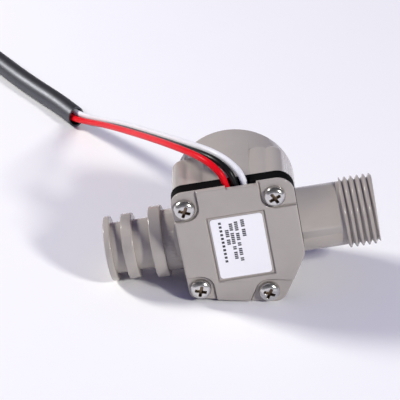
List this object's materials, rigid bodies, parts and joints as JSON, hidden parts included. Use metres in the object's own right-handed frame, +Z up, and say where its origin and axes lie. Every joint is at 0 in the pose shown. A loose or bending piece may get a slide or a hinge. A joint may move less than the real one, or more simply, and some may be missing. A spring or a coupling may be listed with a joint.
{
  "type": "water flow sensor",
  "caption": "Inline water flow sensor: moulded housing with plug-in nozzle and threaded pipe, magnet paddle wheel, Hall board under a screwed cover, and a wire lead.",
  "frame": {"origin": "under the middle of the sensor's box, on the surface it lies on, without its lead", "axes": "+Z up from that surface, +X along the length towards the threaded end, +Y from the cover to the rear of the housing"},
  "size_m": [0.2014, 0.1754, 0.0449],
  "materials": {
    "grey_plastic": "satin",
    "white_plastic": "satin",
    "black_plastic": "satin",
    "black_rubber": "matt",
    "label": "matt",
    "board": "satin",
    "ceramic": "matt",
    "steel": "bright",
    "solder": "bright",
    "magnet": "satin",
    "brass": "bright",
    "ivory_plastic": "satin",
    "red_wire": "satin",
    "black_wire": "satin",
    "white_wire": "satin",
    "black_sleeve": "semi-gloss"
  },
  "bodies": {
    "sensor": {"housing": "grey_plastic", "cover_plate": "grey_plastic", "jet_insert": "white_plastic", "sealing_gasket": "black_rubber", "sensor_tray": "black_plastic", "rating_label": "label", "hall_board": "board", "hall_chip": "black_plastic", "board_capacitor": "ceramic", "board_resistor": "black_plastic", "rotor_shaft": "steel", "front_washer": "steel", "rear_washer": "steel", "cable_sleeve": "black_sleeve", "connector_housing": "ivory_plastic", "cover_screw_1": "steel", "cover_screw_2": "steel", "cover_screw_3": "steel", "cover_screw_4": "steel", "connector_contact_1": "brass", "connector_contact_2": "brass", "connector_contact_3": "brass", "solder_red": "solder", "solder_black": "solder", "solder_white": "solder", "wire_red": "red_wire", "wire_black": "black_wire", "wire_white": "white_wire", "tail_red": "red_wire", "tail_black": "black_wire", "tail_white": "white_wire"},
    "rotor": {"impeller": "white_plastic", "rotor_bush": "black_plastic", "rotor_magnet_1": "magnet", "rotor_magnet_2": "magnet", "rotor_magnet_3": "magnet", "rotor_magnet_4": "magnet", "magnet_retainer": "white_plastic"}
  },
  "joints": [
    {"name": "rotor_spin", "type": "hinge", "parent": "sensor", "child": "rotor", "pos_m": [-0.00177, -0.00205, 0.02067], "axis": [0, -1, 0], "continuous": true}
  ]
}
